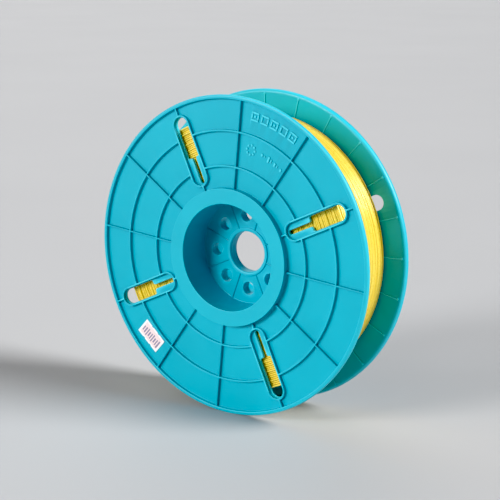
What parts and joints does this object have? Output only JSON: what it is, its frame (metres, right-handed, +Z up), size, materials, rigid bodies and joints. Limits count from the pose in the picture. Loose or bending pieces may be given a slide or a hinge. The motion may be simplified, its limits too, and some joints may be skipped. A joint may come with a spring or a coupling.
{
  "type": "cable spool",
  "caption": "Moulded plastic reel of two identical ribbed flange halves with keyhole slots and a recessed drilled hub, wound full of thin yellow cable, with a small price label.",
  "frame": {"origin": "centre of the spool, on its axis, midway between the two boss faces", "axes": "+Y along the spool's axis from the front flange to the rear flange, +Z up as the spool stands on its rims, +X to the right of someone who faces the front flange"},
  "size_m": [0.2298, 0.06, 0.2298],
  "materials": {
    "reel_plastic": "satin moulded",
    "cable_jacket": "glossy extruded",
    "label_paper": "uncoated paper"
  },
  "bodies": {
    "root": {"front_flange": "reel_plastic", "rear_flange": "reel_plastic", "cable_winding": "cable_jacket", "price_label": "label_paper"}
  },
  "joints": []
}
